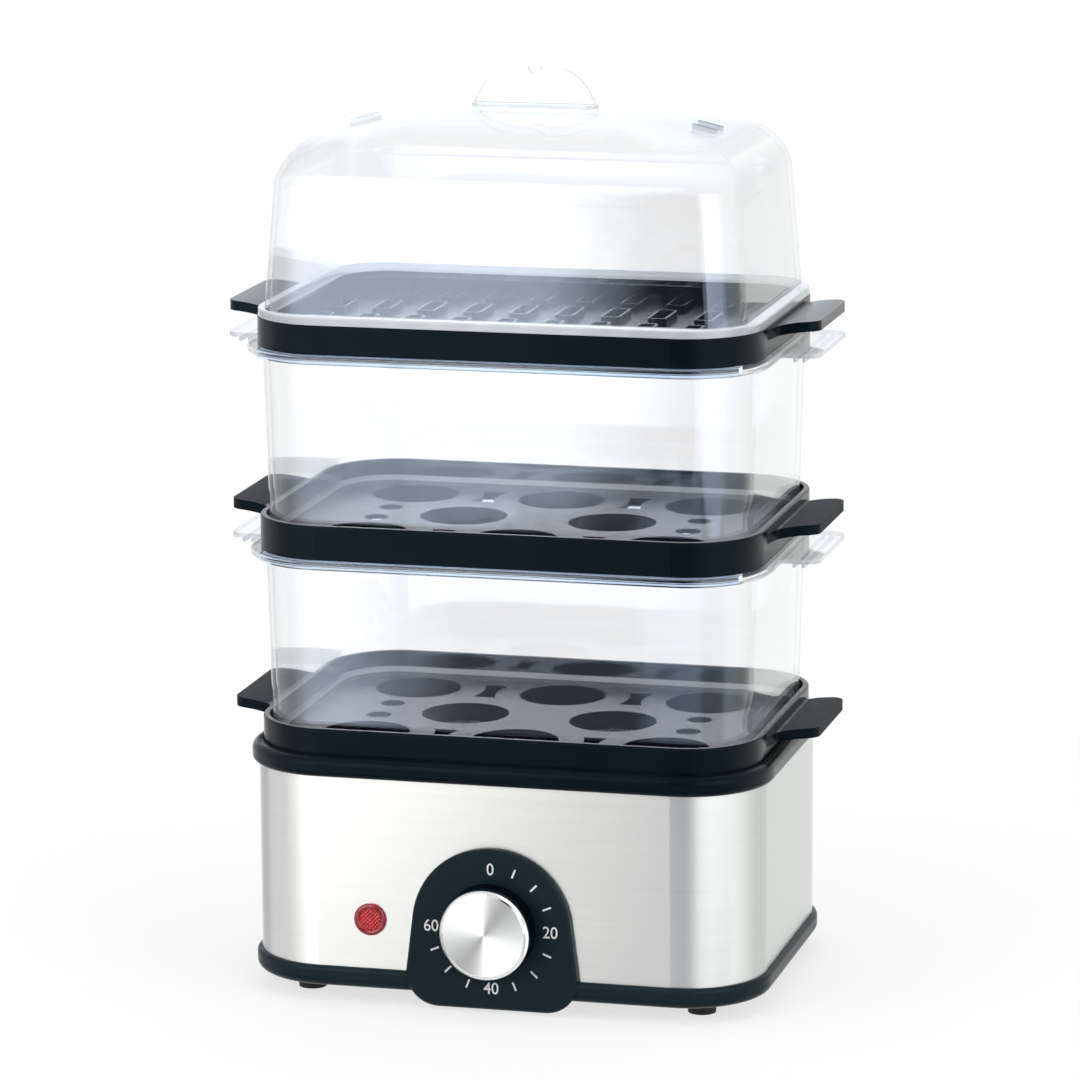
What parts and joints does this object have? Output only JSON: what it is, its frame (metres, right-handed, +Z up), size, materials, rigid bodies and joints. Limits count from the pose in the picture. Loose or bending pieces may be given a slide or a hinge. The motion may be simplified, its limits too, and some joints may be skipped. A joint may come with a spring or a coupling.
{
  "type": "egg boiler",
  "caption": "Countertop electric egg boiler and steamer: brushed steel base with a clockwork timer, stacked egg trays in clear bottomless walls, a slotted steam tray and a clear domed lid.",
  "frame": {"origin": "on the table, under the centre of the base", "axes": "+Z up, the dial faces -Y, +X to the right as seen from the dial's side"},
  "size_m": [0.2588, 0.1908, 0.3928],
  "materials": {
    "steel": "horizontally brushed stainless sheet",
    "black": "satin black injection-moulded polypropylene",
    "rubber": "matt black rubber",
    "silicone": "off-white silicone",
    "spun_aluminium": "spun face with a knurled bright edge",
    "aluminium": "plain cast aluminium",
    "stainless": "pressed stainless, polished",
    "zinc": "bright zinc-plated steel",
    "sheath": "oxidised heater sheath",
    "clear": "clear moulded polycarbonate",
    "red": "red clear lens with facets",
    "lamp": "neon lamp glass",
    "ceramic": "white steatite",
    "phenolic": "dark phenolic moulding",
    "nylon": "natural nylon",
    "live": "brown wire insulation",
    "neutral": "blue wire insulation",
    "earth": "green and yellow wire insulation"
  },
  "bodies": {
    "base": {"steel_shell": "steel", "base_cover": "black", "feet": "rubber", "cover_screws": "zinc", "top_bezel": "black", "heating_plate": "stainless", "plate_gasket": "silicone", "heat_spreader": "aluminium", "heating_element": "sheath", "element_pins": "zinc", "pin_insulators": "ceramic", "plate_studs": "zinc", "plate_bracket": "zinc", "plate_nuts": "zinc", "thermostat": "phenolic", "thermostat_screws": "zinc", "thermal_fuse": "aluminium", "fuse_clip": "zinc", "fuse_screws": "zinc", "dial_panel": "black", "timer_screws": "zinc", "timer_body": "zinc", "timer_bell": "zinc", "bell_nut": "zinc", "lamp_holder": "red", "lamp_clip": "zinc", "lamp_lens": "red", "lamp_bulb": "lamp", "terminal_block": "nylon", "terminal_screws": "zinc", "cord_gland": "rubber", "gland_nut": "nylon", "live_wires": "live", "neutral_wires": "neutral", "earth_wire": "earth"},
    "knob": {"timer_knob": "black", "knob_cap": "spun_aluminium", "timer_shaft": "zinc"},
    "lower_tray": {"lower_egg_tray": "black"},
    "lower_wall": {"lower_tier_wall": "clear"},
    "upper_tray": {"upper_egg_tray": "black"},
    "upper_wall": {"upper_tier_wall": "clear"},
    "steamer_tray": {"steam_tray": "black"},
    "cover_lid": {"lid": "clear", "lid_handle": "clear"}
  },
  "joints": [
    {"name": "timer_turn", "type": "hinge", "parent": "base", "child": "knob", "pos_m": [0, -0.0838, 0.0372], "axis": [0, 1, 0], "range_deg": [0, 270]},
    {"name": "lower_tray_lift", "type": "slide", "parent": "base", "child": "lower_tray", "axis": [0, 0, 1], "range_m": [0, 0.06]},
    {"name": "lower_wall_lift", "type": "slide", "parent": "lower_tray", "child": "lower_wall", "axis": [0, 0, 1], "range_m": [0, 0.06]},
    {"name": "upper_tray_lift", "type": "slide", "parent": "lower_wall", "child": "upper_tray", "axis": [0, 0, 1], "range_m": [0, 0.06]},
    {"name": "upper_wall_lift", "type": "slide", "parent": "upper_tray", "child": "upper_wall", "axis": [0, 0, 1], "range_m": [0, 0.06]},
    {"name": "steamer_tray_lift", "type": "slide", "parent": "upper_wall", "child": "steamer_tray", "axis": [0, 0, 1], "range_m": [0, 0.06]},
    {"name": "cover_lid_lift", "type": "slide", "parent": "steamer_tray", "child": "cover_lid", "axis": [0, 0, 1], "range_m": [0, 0.06]}
  ]
}
